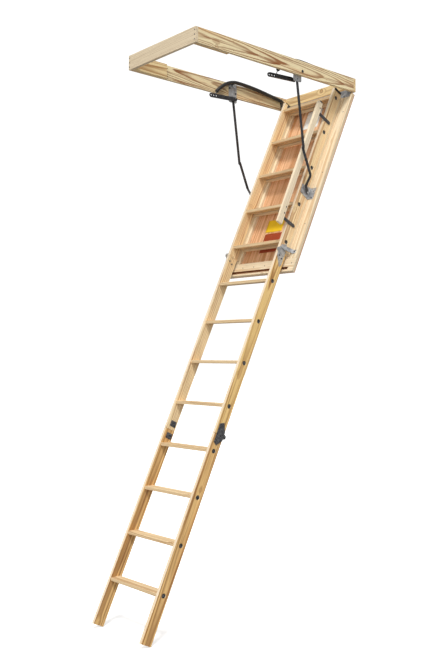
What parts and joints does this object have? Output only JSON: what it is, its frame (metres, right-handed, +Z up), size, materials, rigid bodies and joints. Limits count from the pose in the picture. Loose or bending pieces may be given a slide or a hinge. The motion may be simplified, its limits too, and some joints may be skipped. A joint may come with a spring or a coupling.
{
  "type": "attic ladder",
  "caption": "Folding wooden attic ladder on a spring-balanced hatch door, hinged in a rectangular ceiling frame, with a handrail and folding lower sections.",
  "frame": {"origin": "middle of the hatch opening, in the plane of the frame's lower edges (the ceiling line)", "axes": "+Z up, +Y towards the end where the door is hinged, +X to the right when facing that end"},
  "size_m": [0.641, 1.6391, 3.3648],
  "materials": {
    "pine": "bare southern yellow pine with strong grain",
    "pale_pine": "bare pale pine",
    "tread_pine": "bare planed pine",
    "lauan": "thin plywood with a pinkish face",
    "black_steel": "black paint",
    "dark_zinc": "dark zinc plate",
    "zinc": "bright zinc plate"
  },
  "bodies": {
    "frame": {"header_board": "pine", "hinge_end_board": "pine", "left_jamb": "pine", "right_jamb": "pine", "corner_blocks": "pine", "frame_screws": "dark_zinc", "jamb_plates": "zinc", "jamb_bolts": "dark_zinc", "spring_anchors": "black_steel", "left_spring": "black_steel", "right_spring": "black_steel", "frame_hinge_leaf": "zinc", "hinge_pin": "zinc"},
    "door": {"door_panel": "lauan", "left_door_rail": "pale_pine", "right_door_rail": "pale_pine", "door_bottom_rail": "pale_pine", "door_battens": "pale_pine", "stringer_pads": "pine", "door_screws": "dark_zinc", "door_hinge_leaf": "zinc", "left_upper_stringer": "pine", "right_upper_stringer": "pine", "tread_1": "tread_pine", "tread_2": "tread_pine", "tread_3": "tread_pine", "tread_4": "tread_pine", "tread_5": "tread_pine", "upper_tread_rods": "dark_zinc", "handrail": "pale_pine", "handrail_brackets": "black_steel", "arm_brackets": "zinc", "hinge_straps": "zinc", "top_straps": "black_steel", "upper_hinge_leaves": "dark_zinc"},
    "middle_section": {"left_middle_stringer": "pine", "right_middle_stringer": "pine", "tread_6": "tread_pine", "tread_7": "tread_pine", "tread_8": "tread_pine", "tread_9": "tread_pine", "middle_tread_rods": "dark_zinc", "middle_top_leaves": "dark_zinc", "middle_bottom_leaves": "dark_zinc", "middle_hinge_bolts": "dark_zinc", "middle_backing_plates": "dark_zinc"},
    "lower_section": {"left_lower_stringer": "pine", "right_lower_stringer": "pine", "tread_10": "tread_pine", "tread_11": "tread_pine", "tread_12": "tread_pine", "tread_13": "tread_pine", "lower_tread_rods": "dark_zinc", "lower_leaves": "dark_zinc", "lower_hinge_bolts": "dark_zinc", "lower_backing_plates": "dark_zinc"},
    "left_crank": {"left_crank": "black_steel"},
    "right_crank": {"right_crank": "black_steel"},
    "left_link": {"left_link": "black_steel"},
    "right_link": {"right_link": "black_steel"}
  },
  "joints": [
    {"name": "door_hinge", "type": "hinge", "parent": "frame", "child": "door", "pos_m": [0, 0.657, -0.0037], "axis": [-1, 0, 0], "range_deg": [0, 60]},
    {"name": "middle_fold", "type": "hinge", "parent": "door", "child": "middle_section", "pos_m": [0, 0.05134, -1.07542], "axis": [-1, 0, 0], "range_deg": [0, 180]},
    {"name": "lower_fold", "type": "hinge", "parent": "middle_section", "child": "lower_section", "pos_m": [0, -0.39263, -2.18802], "axis": [-1, 0, 0], "range_deg": [-180, 0]},
    {"name": "left_crank_pivot", "type": "hinge", "parent": "frame", "child": "left_crank", "pos_m": [-0.2785, 0.15, -0.022], "axis": [-1, 0, 0], "range_deg": [0, 135.43], "deforming": ["left_spring"]},
    {"name": "right_crank_pivot", "type": "hinge", "parent": "frame", "child": "right_crank", "pos_m": [0.2785, 0.15, -0.022], "axis": [-1, 0, 0], "range_deg": [0, 135.43], "deforming": ["right_spring"]},
    {"name": "left_link_pivot", "type": "hinge", "parent": "door", "child": "left_link", "pos_m": [-0.2465, 0.29519, -0.70212], "axis": [-1, 0, 0], "range_deg": [-53.34, 0]},
    {"name": "right_link_pivot", "type": "hinge", "parent": "door", "child": "right_link", "pos_m": [0.2465, 0.29519, -0.70212], "axis": [-1, 0, 0], "range_deg": [-53.34, 0]}
  ],
  "couplings": [
    {"joint": "lower_fold", "follows": "middle_fold", "ratio": -1},
    {"joint": "left_crank_pivot", "follows": "door_hinge", "ratio": 2.2572},
    {"joint": "right_crank_pivot", "follows": "door_hinge", "ratio": 2.2572},
    {"joint": "left_link_pivot", "follows": "door_hinge", "ratio": -0.88897},
    {"joint": "right_link_pivot", "follows": "door_hinge", "ratio": -0.88897}
  ]
}
